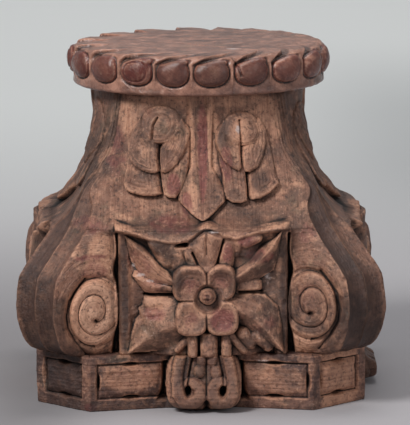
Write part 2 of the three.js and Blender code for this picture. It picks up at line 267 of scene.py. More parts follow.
# Middle, half sizes and depth of the dish of each petal.
PETALS = [
    ((-12.2, 146.5), (20.4, 21.8), 9.5), ((22.3, 148), (17.4, 20.8), 10),
    ((-10.9, 108.2), (19, 21.4), 6.5), ((23.7, 108.6), (19.4, 21.4), 7),
]
PETAL_SEAMS = [
    [(6.5, 170), (7.0, 146)], [(5.8, 113), (6, 86)], [(-34, 127.5), (-10, 127.8)], [(25, 127.5), (44, 127)],
]
PETAL_RIM, PETAL_WEB, CUP_FLOOR, KNOB_TOP = 202, 191.5, 188.5, 201
LIP_EDGE = [
    (-100, 208), (-88, 205), (-56, 196), (-28, 191.5), (-14, 195), (6, 207), (28, 199), (39, 196), (54, 200),
    (100, 208),
]
# Upper edge, ridge and lower edge of each leaf, heights of the edges and of the ridge at their ends, hollow.
PANEL_LEAVES = [
    ([(-26, 152), (-36, 161.5), (-46, 169), (-55.5, 179.5), (-65.5, 189.5), (-85, 200)],
     [(-26, 146), (-44, 162), (-54, 173.5), (-66, 185), (-85, 200)],
     [(-26, 142), (-41.5, 143.5), (-53, 146.5), (-69, 158), (-78.5, 171), (-83, 189), (-85, 200)],
     (177, 175, 184, 177), (197, 191), 1.3),
    ([(-26, 146), (-52, 149), (-69, 160.5), (-77, 160)],
     [(-26, 142), (-55, 144), (-77, 155)],
     [(-26, 133.5), (-54, 133), (-64, 135.6), (-72, 146.5), (-77, 154)],
     (182, 178, 178, 177), (190, 183), 1.8),
    ([(-28, 130), (-50, 131), (-64.5, 131), (-66, 121), (-71, 117), (-69, 110), (-74, 104), (-76, 97),
      (-79, 88), (-81, 77), (-83, 67)],
     [(-14, 103), (-38.7, 97.5), (-55.5, 88), (-71, 77), (-83, 66)],
     [(-8, 86), (-23, 75), (-38.7, 69), (-60, 66), (-83, 65)],
     (183, 175, 177, 173), (197, 187), 1.3),
    ([(30, 157), (45.7, 168), (64, 185), (86, 201), (92, 207)],
     [(30, 149), (44, 157), (64, 171.5), (81, 189), (92, 207)],
     [(30, 141), (58, 146.5), (71, 153), (82, 160), (87, 176), (92, 207)],
     (176, 176, 181, 176), (195, 191), 1.3),
    ([(30, 133), (60, 134), (72, 133), (86.5, 119), (91, 98), (94, 67)],
     [(30, 124), (59.7, 106.5), (74, 92), (94, 66)],
     [(30, 108), (44, 98), (60, 84), (78, 73), (94, 65)],
     (182, 176, 181, 176), (198, 190), 1.35),
]
# Start, end, half widths, height of the foot and heights of the back of each small lobe.
PANEL_LOBES = [
    ((-52, 194), (-38, 172), (8.5, 10), 179, (189, 184)), ((-32, 188), (-24, 168), (9.5, 10), 179, (186, 186)),
    ((-12.5, 181), (-8, 166), (7, 7.5), 181, (190, 190)), ((30.5, 186), (27.5, 168), (9, 9.5), 180, (190, 189)),
    ((43, 192), (40, 180), (6, 5), 178, (188, 184)), ((63, 198), (50, 191), (7, 6.5), 178, (188, 188)),
    ((47, 88), (55, 77), (9.5, 8.5), 174, (191, 187)), ((63, 85), (75, 73), (9, 7), 174, (189, 184)),
    ((34, 86), (48, 69), (5.5, 5.5), 174, (192, 188)), ((-14, 84), (-27, 70), (6, 5), 174, (190, 185)),
]
# Line, width and depth of each knife cut.
PANEL_CUTS = [
    ([(-9.5, 181.5), (-1, 164)], 1.2, 6), ([(25.8, 197), (17, 165)], 1.2, 6),
    ([(-63.5, 132.6), (-31, 133.2)], 1.4, 9), ([(43, 135.6), (68, 136.2)], 1.3, 8.25),
    ([(-70, 117), (-45, 120)], 2.2, 1.95), ([(-74, 105), (-46, 110)], 2.2, 1.8), ([(60, 74), (70, 70)], 2.0, 4.5),
]
TONGUES = [(-15.5, -4.3), (-1.6, 18.4), (22.4, 34)]


def flower_height(x, z):
    """Four dished petals with rolled rims about a sunk cup with a rough knob in it. r is the distance from the
    middle of the flower, q the radius in a petal, and lean the distance from the knob, which leans upwards."""
    r = np.hypot(x - FLOWER[0], (z - FLOWER[1] - 1) * 0.93)
    height = np.where(r < 27, PETAL_WEB, OUTSIDE)
    for at, half, dish in PETALS:
        q = np.maximum(dome(x, z, at, half, 2.8) + 0.025 * flat_field(x, z, 13, 2, 22), 0)
        bowl = PETAL_RIM - dish * np.clip(1 - q**2.2, 0, 1) - 19 * (1 - crest(q, 9))
        height = np.maximum(height, np.where(q < 1, bowl + 0.05 * (r - 25), OUTSIDE))
    for points in PETAL_SEAMS:
        height = height - cut_line(x, z, points, 0.9, 2.2)
    cup = CUP_FLOOR + 3 * ease(8, 16, r)
    height = np.where(r < 18, mix(cup, height, ease(13.2, 17.4, r)), height)
    lean = np.hypot(x - FLOWER[0] + 0.6, z - FLOWER[1] - 4)
    knob = KNOB_TOP - 7 * (lean / 9) ** 3 + 2.2 * flat_field(x, z, 2.6, 2, 21) * (1 - ease(4.5, 6.5, lean))
    knob = knob - hump(lean - 6.2, 0.8)
    return np.where(lean < 9.6, np.maximum(knob, height), height)


def panel_height(x, z):
    """Everything that stands on the sunk ground of a panel: the greatest of the heights of its carvings."""
    edge = curve(LIP_EDGE, x)
    wide = np.abs(x - PANEL_MIDDLE)
    ground = mix(180.5, 172, ease(50, 68, wide)) + 3 * (x > 0) * ease(40, 70, x) + 1.4 * flat_field(x, z, 16, 2, 5)
    ground = ground - 9 * (1 - ease(63, 92, z)) * ease(40, 60, np.abs(x - FLOWER[0]))
    ground = ground + 5 * ease(edge - 16, edge - 4, z)
    post = 176 - 5 * ease(92, 95.5, wide) - 3 * ease(85, 81, wide)
    height = np.where(wide > 81, join(ground, post, 2), ground)
    for leaf in PANEL_LEAVES:
        height = np.maximum(height, blade(x, z, *leaf))
    for lobe in PANEL_LOBES:
        height = np.maximum(height, finger(x, z, *lobe))
    block = swell(dome(x, z, (53, 143.3), (16, 7.4), 4), 178, 186.5, 4)
    wedge = blade(x, z, [(-2, 163), (-9, 180.5), (-16.5, 188), (5, 208)], [(7.5, 160), (6.5, 182), (6.2, 210)],
                  [(17.5, 163), (21, 180), (27.5, 199), (7, 208)], (188, 187, 188, 187), (193, 195), 2)
    wedge = wedge - cut_line(x, z, [(6.3, 206), (6.5, 168)], 3.5, 2.6)
    wedge = wedge - cut_line(x, z, [(6.3, 204), (6.5, 180)], 1.1, 1.8)
    height = np.maximum(np.maximum(height, block), wedge)
    for points, width, depth in PANEL_CUTS:
        height = height - cut_line(x, z, points, width, depth)
    height = height - 24 * np.exp(-(((x + 21.5) / 6.4) ** 4) - ((z - 190.3) / 2.6) ** 4)
    for left, right in TONGUES:
        across = np.abs((x - (left + right) / 2) / ((right - left) / 2))
        tongue = 184 + 10.5 * crest(across, 2.6) - 4 * ease(74, 88, z)
        height = np.where((across < 1) & (z < 89), np.maximum(height, tongue), height)
    return np.maximum(height, flower_height(x, z))


def face_carving(x, z, front):
    """Depth of a face below the shoulder: the lip, the panel under it and the slots at its sides. Also returns
    how far each place lies in a slot, how far it lies on the lip, and the level of the lip's edge."""
    shelf, curl, fall = (185.6, 3.8, 0) if front else (183.8, 2.6, 12)
    edge = curve(LIP_EDGE, x) + 0.8 * flat_field(x, 0 * x, 14, 2, 81) - fall * ease(45, 88, np.abs(x))
    lip = shelf + curl * hump(z - edge - 2.2, 3.6) - 1.2 * flat_field(x, z, 11, 2, 82)
    shown = ease(edge - 5, edge + 1, z)
    depth = mix(panel_height(x, z), lip, shown)
    wide = np.abs(x - PANEL_MIDDLE)
    outer = curve(SLOT_OUTER, z) + 2 - 3 * ease(150, 195, z)
    slot = np.minimum(ease(94.5, 97, wide), 1 - ease(outer - 1.5, outer + 1, wide))
    return depth, slot * (1 - ease(199, 205, z)), shown, edge


# ---------------------------------------------------------------- volutes and corners

EYE = (121.5, 117)
VOLUTE_TALL = 1.3
# Radius of the spiral cut at each angle.
SPIRAL = [(-90, 7.5), (0, 11.6), (90, 16), (180, 18.7), (270, 19.5), (360, 27), (450, 29.5), (540, 29), (630, 30)]
RIM_GROOVE = [(133, 156), (142, 144), (151, 132), (154, 115), (152, 101), (144, 85), (131, 66)]
RIB_DEPTH = [(63, 6.5), (206, 6.5), (232, 5), (250, 2.5), (268, 0.5)]


def volute_relief(x, z, eye_level):
    """Height over the plane of a volute. x is counted from the middle of the face outwards. A fine spiral cut,
    its radius a curve of the angle, winds out from the eye over a rounded disc; the band between two turns
    leans outwards, and a rim groove parts the disc from the outer band."""
    z = z - (eye_level - EYE[1]) * 0.75
    dx, dz = x - EYE[0], (z - EYE[1]) / VOLUTE_TALL
    radius = np.hypot(dx, dz)
    angle = (np.degrees(np.arctan2(dz, -dx)) + 90) % 360 - 90
    disc = dome(x, z, (120, 117), (31, 39), 2.1)
    height = 7.0 * crest(disc, 3.5)
    for turn in range(2):
        gap = radius - curve(SPIRAL, angle + 360 * turn)
        height = height - 2.8 * hump(gap, 0.95) - 1.5 * hump(gap - 1.6, 2.8)
    height = height - 7 * hump(np.hypot(x - EYE[0], z - 108), 2.6) + 1.5 * hump(radius, 6, 4)
    height = height - cut_line(x, z, RIM_GROOVE, 1.5, 3.4) - cut_line(x, z, RIM_GROOVE, 5, 2.6)
    height = height - 1.3 * hump(disc - 1.03, 0.05) * (x < 140)
    return height + hump(line_distance(x, z, RIM_GROOVE) - 8, 4) * (x > 140)


def corner_ribs(t, z):
    """Relief across the band on a corner, t from its crest: two hollows between three arrises."""
    share = np.clip(t / curve(BAND_HALF, z), 0, 1)
    return -curve(RIB_DEPTH, z) * crest(2 * share - 1, 2, 0.8)


# ---------------------------------------------------------------- leaves on the flare

# Outlines of the lobes of a leaf: the two of the lowest tier, then the two of the middle one.
LEAF_LEFT = [
    [(-36, 300), (-40, 275), (-43, 253), (-39, 246), (-31, 242.5), (-18, 239.6), (-4, 239.4), (4, 242), (2, 252),
     (-1, 268), (-6, 300)],
    [(1, 268), (4, 250), (6, 241), (12, 237.5), (19, 237.2), (25, 244), (31, 257), (34, 276), (36, 300), (20, 318)],
    [(-24, 326), (-34, 310), (-37.5, 296), (-36.5, 286), (-32, 277), (-24, 269.5), (-12, 265), (-3, 263.8),
     (2.5, 267), (0, 280), (0, 300)],
    [(2, 292), (2.4, 278), (4, 266), (9, 264.4), (15, 267), (22, 274), (29, 284.4), (34, 298), (36.5, 311),
     (26, 326), (10, 312)],
]
LEAF_RIGHT = [
    [(-29, 302), (-26, 282), (-21.5, 263), (-20.5, 245), (-18, 236.5), (-11, 232.2), (-1, 231.4), (6.5, 234.5),
     (6.5, 250), (5, 268), (0, 300)],
    [(6, 290), (8.6, 264), (8.8, 240), (11, 235), (21, 236.2), (34, 242.4), (45.5, 252.6), (41.5, 264), (40, 280),
     (38, 296), (33, 312)],
    [(-19, 324), (-28, 310), (-29.5, 300), (-27, 289.5), (-21, 277.5), (-13, 269.6), (-4, 265.8), (-0.4, 270),
     (-1, 285), (0, 300)],
    [(0.6, 292), (0.6, 272), (3, 265.6), (8, 264.6), (18, 270), (24.6, 280.4), (30, 295.5), (32.5, 311), (24, 326),
     (8, 308)],
]
# Middle, half sizes and slit of the egg on top of a leaf.
EGG_LEFT = ((1.5, 317.5), (24.5, 22), [(-1, 326), (-5, 318), (-5.6, 300)])
EGG_RIGHT = ((1.2, 312.5), (22, 19.5), [(-1.5, 322), (-2.3, 309), (-1.6, 294)])
TIER_LIFT = [
    [(230, 12), (262, 7), (290, 3), (320, 0.5)],
    [(262, 15), (285, 10.5), (310, 5.5), (340, 0.5)],
]
LEAF_PLACE = 46
STRAP_HALF = [
    (214.5, 0.1), (215.5, 2), (219, 9), (227, 18.4), (236, 26.6), (243, 26), (253, 22), (262, 17), (272, 12),
    (298, 12.4), (352, 14.5),
]
STRAP_LIFT = [(215, 11.5), (232, 11.5), (250, 7.5), (275, 4), (318, 4.5), (340, 2.5), (352, 1)]
STRAP_VEIN = [(213, 1), (235, 2), (251, 3), (276, 5.4), (352, 6.6)]
CORNER_STRAP_HALF = [(240, 10), (300, 14), (352, 15)]


def outline_depth(u, z, points):
    """How far inside a closed outline each place lies, from the nearest side; negative outside it. A place is
    inside if a line from it crosses the outline an odd number of times."""
    within = np.zeros(u.shape, bool)
    for (u0, z0), (u1, z1) in zip(points, points[1:] + points[:1]):
        slope = (u1 - u0) / (z1 - z0 if z1 != z0 else 1e-9)
        within ^= ((z0 > z) != (z1 > z)) & (u < u0 + slope * (z - z0))
    away = line_distance(u, z, points + points[:1])
    return np.where(within, away, -away)


def hanging_leaf(u, z, lobes, egg_form):
    """A leaf in three tiers, u measured round the bell from its middle: two pairs of lobes, each swelling from
    its outline with ribs that follow it, and a ribbed egg with a slit on top. Also returns how far each place
    lies inside the outline, for the grain that follows it."""
    height, vein = np.zeros(u.shape), np.full(u.shape, -1.0)
    for number, points in enumerate(lobes):
        depth = outline_depth(u, z, points)
        back = crest(1 - np.clip(depth / 9.5, 0, 1), 2, 0.75)
        lobe = curve(TIER_LIFT[number // 2], z) * (0.6 + 0.4 * back) + 2.4 * back
        lobe = lobe - hump(depth % 4.3 - 2.15, 0.75) * ease(3, 5, depth) * (1 - ease(14, 19, depth))
        lobe = np.where(depth > 0, lobe * ease(-0.2, 1.0, depth), 0)
        vein = np.where(lobe > height, depth * 1.5, vein)
        height = np.maximum(height, lobe)
    at, half, slit = egg_form
    q = dome(u, z, at, half, 2.2)
    egg = mix(15, 5, ease(292, 337, z)) * crest(q, 3.4, 0.42)
    for ring in (0.78, 0.56):
        egg = egg - 0.9 * hump(q - ring, 0.045)
    egg = egg - cut_line(u, z, slit, 1.3, 4.5)
    vein = np.where(q < 1, 20 * (1 - q), vein)
    return np.where(q < 1, np.maximum(height, egg), height), vein


def face_strap(u, z):
    """The strap in the middle of a face: a sunk vein between two flat strips, ending in a pointed leaf that has
    a ridge along its middle."""
    share = np.abs(u) / curve(STRAP_HALF, z)
    body = curve(STRAP_LIFT, z) * crest(share, 6)
    vein = 1.2 * inside(np.abs(u) - curve(STRAP_VEIN, z), 1.2)
    ridge = 3.0 * hump(u, 8) * (1 - ease(235, 262, z)) - 0.9 * hump(u, 1.0) * (z < 262)
    return np.where((share < 1) & (z > 215), body - vein + ridge * ease(215, 222, z), 0)


def flare_relief(x, z, depth, hand):
    """Relief of the flare, square to the bell: two leaves, a face strap and half a corner strap on each side,
    the greatest one showing. Also returns the coordinate that the veins and the grain follow. hand says how
    this face differs from its fellows."""
    angle = np.arctan2(x, depth)
    radius = np.hypot(x, depth)
    height = np.maximum(0, face_strap((angle - hand["strap"]) * radius, z))
    follow = angle * radius
    for side in (-1, 1):
        form = (LEAF_LEFT, EGG_LEFT) if side * hand["turned"] < 0 else (LEAF_RIGHT, EGG_RIGHT)
        u = (angle * radius - side * LEAF_PLACE) * hand["turned"]
        leaf, vein = hanging_leaf(u, z + hand["drop"][(side + 1) // 2], *form)
        leaf = leaf * hand["full"]
        follow = np.where((leaf > height) & (vein > 0), 300 + vein, follow)
        height = np.maximum(height, leaf)
    t = (depth - np.abs(x)) / ROOT_2
    strap = 2.0 * crest(t / curve(CORNER_STRAP_HALF, z), 6)
    for place in (0, 4.5, 9):
        strap = strap - 0.9 * hump(t - place, 0.8)
    height = np.maximum(height, strap * ease(236, 262, z))
    return height * ease(208, 216, z) * (1 - ease(346, 352, z) * 0.6), follow


# ---------------------------------------------------------------- meshes


def turned(points, quarters):
    """Points turned about +Z by quarter turns: (x, y) becomes (-y, x) at each."""
    for _ in range(quarters):
        points = np.stack([-points[..., 1], points[..., 0], points[..., 2]], -1)
    return points


def closed_wall(name, rows, lower, upper, values):
    """A closed skin. rows is bottom to top by columns that run round; lower and upper are lists of further
    rings of the same count, going inwards, each list closed by a point in its middle. values holds a field of
    the size of rows for each point attribute."""
    rings = np.concatenate([lower[::-1], rows, upper]) * MM
    count = rings.shape[1]
    hubs = np.stack([rings[0].mean(0), rings[-1].mean(0)])
    points = np.concatenate([rings.reshape(-1, 3), hubs])
    r, c = np.meshgrid(np.arange(rings.shape[0] - 1), np.arange(count), indexing="ij")
    a = r * count + c
    b = r * count + (c + 1) % count
    quads = np.stack([a, b, b + count, a + count], -1).reshape(-1, 4)
    edge = np.arange(count)
    last = (rings.shape[0] - 1) * count
    first_hub, last_hub = len(points) - 2, len(points) - 1
    low_fan = np.stack([(edge + 1) % count, edge, np.full(count, first_hub)], -1)
    high_fan = np.stack([last + edge, last + (edge + 1) % count, np.full(count, last_hub)], -1)
    corners = np.concatenate([quads.ravel(), low_fan.ravel(), high_fan.ravel()])
    sizes = np.concatenate([np.full(len(quads), 4), np.full(2 * count, 3)])
    mesh = bpy.data.meshes.new(name)
    mesh.vertices.add(len(points))
    mesh.vertices.foreach_set("co", points.astype(np.float32).ravel())
    mesh.loops.add(len(corners))
    mesh.loops.foreach_set("vertex_index", corners.astype(np.int32))
    mesh.polygons.add(len(sizes))
    mesh.polygons.foreach_set("loop_start", (np.cumsum(sizes) - sizes).astype(np.int32))
    mesh.polygons.foreach_set("use_smooth", np.ones(len(sizes), bool))
    mesh.update(calc_edges=True)
    for label, field in values.items():
        below, above = np.repeat(field[:1], len(lower), 0), np.repeat(field[-1:], len(upper), 0)
        whole = np.concatenate([np.concatenate([below, field, above]).ravel(), [0, 0]])
        layer = mesh.attributes.new(label, "FLOAT", "POINT")
        layer.data.foreach_set("value", whole.astype(np.float32))
    piece = bpy.data.objects.new(name, mesh)
    bpy.context.scene.collection.objects.link(piece)
    return piece


def thinned(piece, triangles):
    """The piece with its flatter parts in fewer, larger faces. Nearly all its faces have four corners."""
    modifier = piece.modifiers.new("thin", "DECIMATE")
    modifier.ratio = min(1, triangles / (2 * len(piece.data.polygons)))
    bpy.context.view_layer.update()
    fine = bpy.data.meshes.new_from_object(piece.evaluated_get(bpy.context.evaluated_depsgraph_get()))
    piece.modifiers.clear()
    piece.data = fine
    fine.polygons.foreach_set("use_smooth", np.ones(len(fine.polygons), bool))
    return piece


def blurred(field, reach):
    """Mean of a field over a square of 2 * reach + 1 samples, from running sums; its columns wrap round."""
    width = 2 * reach + 1
    for mode in ("edge", "wrap"):
        total = np.cumsum(np.pad(field, [(reach + 1, reach), (0, 0)], mode=mode), 0)
        field = ((total[width:] - total[:-width]) / width).T
    return field


def hollows(height):
    """How sunk each place is among its neighbours: first fine, from -1 on arrises to 1 in cuts, then broad, for
    recesses. Each is the height of blurred surroundings over the place, divided by a scale."""
    fine = 0
    for reach, scale in ((1, 0.7), (2, 1.6), (4, 4)):
        fine = fine + np.clip((blurred(height, reach) - height) / scale, -1, 1) / 3
    middling = np.clip((blurred(blurred(height, 5), 3) - height) / 4.5, -1, 1)
    broad = np.clip((blurred(blurred(height, 11), 7) - height) / 12, -1, 1)
    return fine, 0.55 * middling + 0.45 * broad


def shrunk(ring, level, shares):
    """Rings drawn in towards the axis at one level."""
    flat = np.concatenate([ring[:, :2], np.full((len(ring), 1), level)], 1)
    return [flat * [share, share, 1] for share in shares]


def squared(columns, half, level):
    """A square ring with as many columns on each side as the wall has."""
    s = -1 + 2 * np.arange(columns) / columns
    front = np.stack([s * half, np.full(columns, -half), np.full(columns, level)], -1)
    return np.concatenate([turned(front, quarter) for quarter in range(4)])


# ---------------------------------------------------------------- bell

BELL_TRIANGLES = 195000
SLOT_DEPTH = 152.0


def bell_face(quarter, columns, levels):
    """Points of one face of the bell, how far its surface stands over the plain body, and where its grain runs.
    The body below the shoulder is joined to the flare above it, and all relief dies out at the corners. The
    three faces behind the front one sway a little, and every second face is turned left to right."""
    s = -1 + 2 * np.arange(columns) / columns
    z, s = np.meshgrid(levels, s, indexing="ij")
    half = curve(CORNER_REACH, z) / ROOT_2
    x = s * half
    outward = np.abs(x)
    front = quarter == 0
    side = 1 if quarter % 2 == 0 else -1
    if front:
        hand = {"strap": 0.014, "drop": (0, 0), "turned": side, "full": 1.0}
        wx, wz, sag = x, z, 0.0
        eye, shift = np.where(x < 0, 112.0, 122.0), np.where(x < 0, 1.9, -1.9)
    else:
        hand = {"strap": 0.01 * (quarter - 2), "drop": (2 * quarter - 4, 3 - quarter), "turned": side, "full": 0.62}
        sway = 2.0 * ease(1.0, 0.8, np.abs(s))
        wx = side * x + PANEL_MIDDLE / 2 * sway + sway * flat_field(x, z, 60, 1, 11, 40 * quarter)
        wz = z + sway * flat_field(x, z, 60, 1, 12, 40 * quarter)
        sag = 5.5
        eye, shift = EYE[1] + 2 * (quarter - 2), 0.0
    plain = plain_depth(x, z, sag)
    depth, slot, shown, edge = face_carving(wx, wz, front)
    relief = volute_relief(outward + shift, z, eye) * ease(1.0, 0.93, outward / volute_edge(z))
    volute = volute_plane(x, np.minimum(z, SHOULDER)) + relief
    low = mix(depth, volute, ease(98.5, 100.5, np.abs(wx - PANEL_MIDDLE)))
    low = mix(low, SLOT_DEPTH + 10 * ease(140, 185, z), slot)
    high = flare_depth(x, np.maximum(z, SHOULDER - 12), sag)
    inner = shown * ease(edge + 3, np.maximum(edge + 9, SHOULDER + (5 if front else 2)), z)
    shoulder = mix(inner, ease(SHOULDER - 8, SHOULDER + 6, z), ease(92, 104, outward))
    face = mix(mix(low, high, shoulder), plain, ease(0.94, 1.0, np.abs(s)))
    t = (plain - outward) / ROOT_2
    banded = t < curve(BAND_HALF, z)
    flare, follow = flare_relief(x, z, flare_depth(x, np.maximum(z, 200), sag), hand)
    square = corner_ribs(t, z) * banded + flare
    spiral = np.hypot(outward - EYE[0], (z - eye) / VOLUTE_TALL) * 1.2
    follow = np.where(z < SHOULDER, mix(depth * 1.4 + 0.3 * z, spiral, ease(99, 101, outward)), follow)
    follow = np.where(banded, t, follow)
    angle = np.arctan2(x, plain)
    px, py = x + square * np.sin(angle), -(face + square * np.cos(angle))
    return np.stack([px, py, z], -1), face - plain + square, follow


def bell():
    """The carved bell: four faces of columns that meet on the diagonals, moved in and out by uneven noise."""
    columns, rows = ((380, 285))
    levels = np.linspace(BELL_BOTTOM, BELL_TOP, rows)
    faces = [bell_face(quarter, columns, levels) for quarter in range(4)]
    wall = np.concatenate([turned(face[0], quarter) for quarter, face in enumerate(faces)], 1)
    height = np.concatenate([face[1] for face in faces], 1)
    follow = np.concatenate([face[2] + 700 * quarter for quarter, face in enumerate(faces)], 1)
    x, y, z = (wall[..., i] for i in range(3))
    uneven = 0.45 * roughness_field(x, y, z, 8, 2, 31) + 0.9 * roughness_field(x, y, z, 38, 2, 32)
    wall[..., :2] += wall[..., :2] / np.hypot(x, y)[..., None] * uneven[..., None]
    fine, broad = hollows(height + 0.5 * uneven)
    low = [squared(columns, half, BELL_BOTTOM) for half in (138, 70, 10)]
    top = shrunk(wall[-1], BELL_TOP, (0.97, 0.7, 0.3))
    values = {"sunk": fine, "deep": broad, "vein": follow, **bell_tones(x, y, z)}
    return thinned(closed_wall("carved_bell", wall, np.array(low), np.array(top), values), BELL_TRIANGLES)


# Spots on the front face: x, z, half width, half height and strength of each.
PALE_SPOTS = [
    (-119, 113, 30, 50, 1.6), (-148, 110, 7, 36, 0.9), (-112, 172, 18, 34, 1.1), (120, 76, 22, 16, 0.8),
    (112, 186, 12, 20, 0.1), (136, 150, 8, 30, 0.25), (-12, 108, 17, 18, 0.4), (-11, 305, 6, 50, 0.8),
    (14, 305, 6, 50, 1.2), (46, 311, 16, 18, 0.6), (-46, 316, 16, 18, 0.35), (0, 345, 110, 10, 0.4),
    (-50, 124, 20, 10, 0.6), (-60, 84, 30, 14, 0.4), (-90, 214, 20, 8, 0.3), (-9, 238, 7, 18, 1.0),
    (34, 162, 16, 6, 0.4), (-60, 160, 28, 26, 0.85), (-50, 104, 26, 20, 0.45), (4, 186, 16, 16, 0.4),
    (-50, 255, 30, 26, 0.35), (50, 300, 24, 30, 0.35), (78, 320, 22, 34, 0.5), (-80, 320, 18, 30, 0.4),
]
RED_SPOTS = [
    (3.4, 290, 7, 70, 0.85), (-15, 232, 8, 16, 0.8), (66, 178, 22, 10, 0.75), (26, 152, 15, 14, 0.5),
    (-66, 172, 24, 24, 0.5), (-56, 144, 24, 12, 0.5), (30, 182, 9, 14, 0.7), (54, 194, 18, 8, 0.7),
    (-124, 176, 32, 3, 0.8), (-120, 160, 20, 14, 0.5), (-30, 252, 10, 16, 0.8), (30, 275, 10, 26, 0.6),
    (-34, 212, 34, 12, 0.5), (24, 106, 18, 18, 0.75), (-52, 112, 18, 10, 0.6), (-96, 290, 16, 40, 0.5),
    (120, 200, 14, 14, 0.4), (-12, 144, 16, 14, 0.45), (8, 133, 6, 6, 1.0), (-12, 106, 12, 14, 0.4),
    (22, 150, 14, 16, 0.45), (70, 100, 22, 14, 0.4), (-128, 210, 30, 12, 0.5), (118, 130, 16, 30, 0.35),
]
# Among the dark spots, the one in the recess beside the left post (-70, 125) and the one over the cup of the flower
# (8, 128) are painted shade.
DARK_SPOTS = [
    (-88, 130, 8, 80, 1.0), (-70, 125, 10, 30, 0.55), (96, 130, 8, 80, 0.95), (54, 178, 22, 9, 0.85),
    (-62, 190, 16, 8, 0.6), (-26, 150, 10, 14, 0.7), (26, 158, 14, 9, 0.7), (60, 100, 26, 20, 0.35),
    (-50, 186, 14, 14, 0.4), (40, 240, 16, 12, 0.5), (60, 74, 30, 8, 0.5), (64, 232, 22, 14, 0.4),
    (68, 256, 14, 18, 0.6), (8, 133, 5, 5, 0.7), (8, 128, 17, 17, 0.35), (-27, 154, 8, 20, 0.8),
    (36, 152, 8, 20, 0.6), (124, 130, 26, 44, 0.42), (60, 218, 60, 10, 0.4), (-40, 288, 16, 12, 0.35),
]
WHITE_SPOTS = [
    (43.5, 313, 4, 5.5, 1), (-76, 166, 3, 7, 0.9), (-68, 156, 8, 3, 0.8), (-57, 149.5, 8, 2.4, 0.8),
    (-44, 146, 12, 4, 0.5), (75, 150, 5, 11, 0.7), (14, 205, 8, 1.4, 1), (-64, 163, 16, 9, 0.42),
    (-58, 88, 16, 8, 0.38), (-56, 110, 14, 8, 0.4), (60, 88, 18, 10, 0.4), (-110, 110, 20, 34, 0.34),
]


def spot(x, z, at, half):
    """1 in the middle of an ellipse about a point, 0 outside it."""
    return 1 - ease(0.5, 1.15, dome(x, z, at, half, 2))


def spots(x, z, places):
    """The greatest of several spots, each times its strength."""
    shown = 0 * x
    for at_x, at_z, wide, high, strength in places:
        shown = np.maximum(shown, strength * spot(x, z, (at_x, at_z), (wide, high)))
    return shown


def bell_tones(x, y, z):
    """Where the wood of the bell is pale, red, dark or whitened. On the front the worn and the painted places lie
    each in its own spot; the volutes are pale and the corner bands dark all round. Pale above 1 is bleached wood
    and a painted highlight, and the flanks of the front face and the three faces behind it carry painted shade."""
    front = y < -np.abs(x)
    across, depth = np.minimum(np.abs(x), np.abs(y)), np.maximum(np.abs(x), np.abs(y))
    t = (depth - across) / ROOT_2
    band = (1 - ease(0.8, 1.08, t / curve(BAND_HALF, z))) * (z < 262)
    along = np.where(np.abs(x) < np.abs(y), x * -np.sign(y), y * np.sign(x))
    pale = 0.35 * spot(across, z, (120, 118), (34, 60)) * (1 - band) * np.where(front & (x > 0), 0.3, 1)
    pale = np.maximum(pale, front * spots(x, z, PALE_SPOTS)) + 0.18 * roughness_field(x, y, z, 20, 2, 52) * front
    red = np.maximum(0.25 * spot(across, z, (0, 290), (7, 70)), front * spots(x, z, RED_SPOTS))
    dark = np.maximum(0.22, front * spots(x, z, DARK_SPOTS))
    dark = np.maximum(dark, band * np.where(along < 0, mix(0.95, 0.55, ease(110, 190, z)), 0.95))
    dark = np.maximum(dark, 1.15 * band * (1 - ease(72, 112, z)))
    beyond_disc = ease(26, 36, np.hypot(np.abs(x) - 119, (z - 116) / VOLUTE_TALL)) * (np.abs(x) > 122)
    dark = np.maximum(dark, 0.6 * front * (z < 135) * beyond_disc)
    # Painted shade: the front grows darker towards its corners on the flare, the right side more than the left, and
    # the faces behind it are darker all over.
    flank_painted_shade = ease(0.68, 1.0, across / depth) * ease(200, 215, z) * np.where(x > 0, 0.5, 0.42)
    dark = np.maximum(dark, np.where(front, flank_painted_shade, 0.45)) + 0.12 * roughness_field(x, y, z, 26, 3, 51)
    white = front * spots(x, z, WHITE_SPOTS)
    return {"pale": np.clip(pale, 0, 1.7), "red": red, "dark": np.clip(dark, 0, 1.15), "white": white}


# ---------------------------------------------------------------- abacus

FLEURON_FRONT = [(0, 180), (3, 196), (8, 205), (16, 207), (28, 204.5), (39, 199.5), (50, 196), (63, 194)]
FLEURON_HALF = [(0, 21), (2.5, 29), (8, 37), (16, 41.5), (30, 43), (45, 42), (56, 39), (63, 34.5)]
ROLLS = [
    [(-27, 69), (-31, 53), (-32.8, 38), (-31.6, 24), (-24.3, 14.4), (-14.6, 12.9), (-7.4, 19), (-6.8, 29),
     (-12.5, 34.3), (-18.5, 34)],
    [(23, 69), (27, 53), (29.8, 38), (30, 24), (23.9, 13.5), (15, 12), (8, 18), (7.2, 28.5), (11.4, 34.6),
     (17, 35)],
]
ROLL_GIRTH = [(10, 8.6), (36, 6.6), (66, 6.2)]
ROLL_HOLES = [(-20.3, 25.5), (19, 25)]
# Middle, half sizes and rise of each lobe between the rolls.
HANGING_LOBES = [
    ((-7.6, 47), (7, 7.5), 0.5), ((11.5, 46), (6.8, 7.5), 0.5), ((-5, 61), (6, 10), -1), ((6.8, 61), (6, 10), -1),
]
# Line, width and depth of each knife cut in a fleuron.
FLEURON_CUTS = [
    ([(-13.4, 70), (-18.6, 45), (-20.5, 34)], 1.3, 6), ([(13.4, 70), (18.6, 45), (20, 34)], 1.2, 5),
    ([(0.4, 68), (0.6, 34), (0.2, 22)], 1.0, 2.6), ([(0.4, -2), (0.4, 12)], 3.0, 12),
]
CORE_HALF = 148
CORNER_WIDTH = 86.12
# The ornament on the left is worn away level with the slab; the one on the right is broken off above its foot.
LEFT_WEAR = -189.5
RIGHT_WEAR = [(0, 193), (5, 200), (10, 206), (25, 205), (31, 196), (37, 191), (63, 190)]


